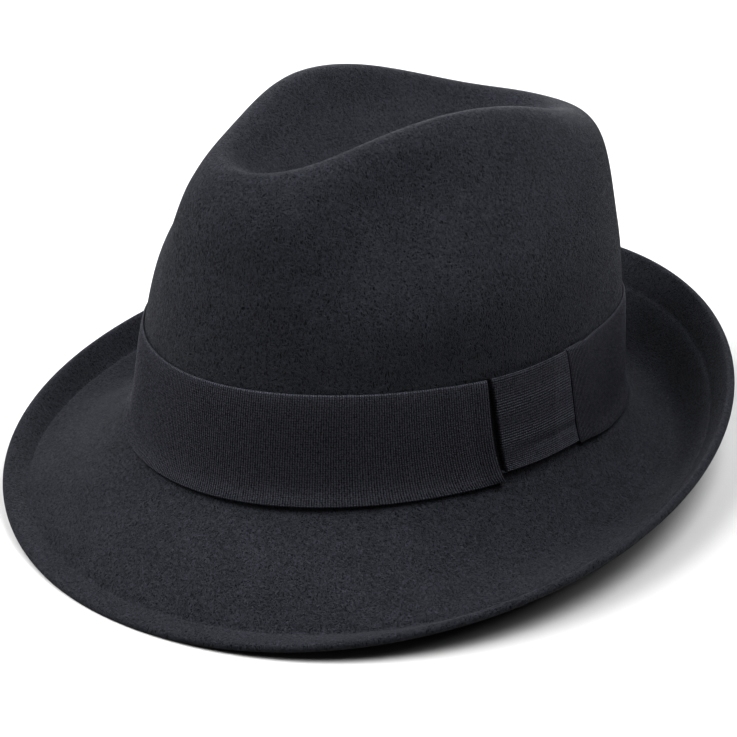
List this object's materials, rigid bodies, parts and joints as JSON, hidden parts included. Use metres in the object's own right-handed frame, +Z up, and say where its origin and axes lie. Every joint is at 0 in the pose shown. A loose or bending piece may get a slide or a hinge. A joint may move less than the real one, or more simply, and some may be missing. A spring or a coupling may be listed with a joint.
{
  "type": "felt hat",
  "caption": "Felt trilby with a dented, pinched crown, a short brim turned down in front and up behind, and a ribbed ribbon with a flat side bow, at rest.",
  "frame": {"origin": "on the surface that the hat rests on, under the middle of its box", "axes": "+Z up, -Y towards the front of the hat, +X towards the wearer's left, where the bow is"},
  "size_m": [0.2632, 0.286, 0.1408],
  "materials": {
    "felt": "matt black wool felt with a short nap",
    "ribbon": "black ribbed ribbon with a faint sheen"
  },
  "bodies": {
    "root": {"felt_body": "felt", "ribbon_band": "ribbon", "bow_knot": "ribbon"}
  },
  "joints": []
}
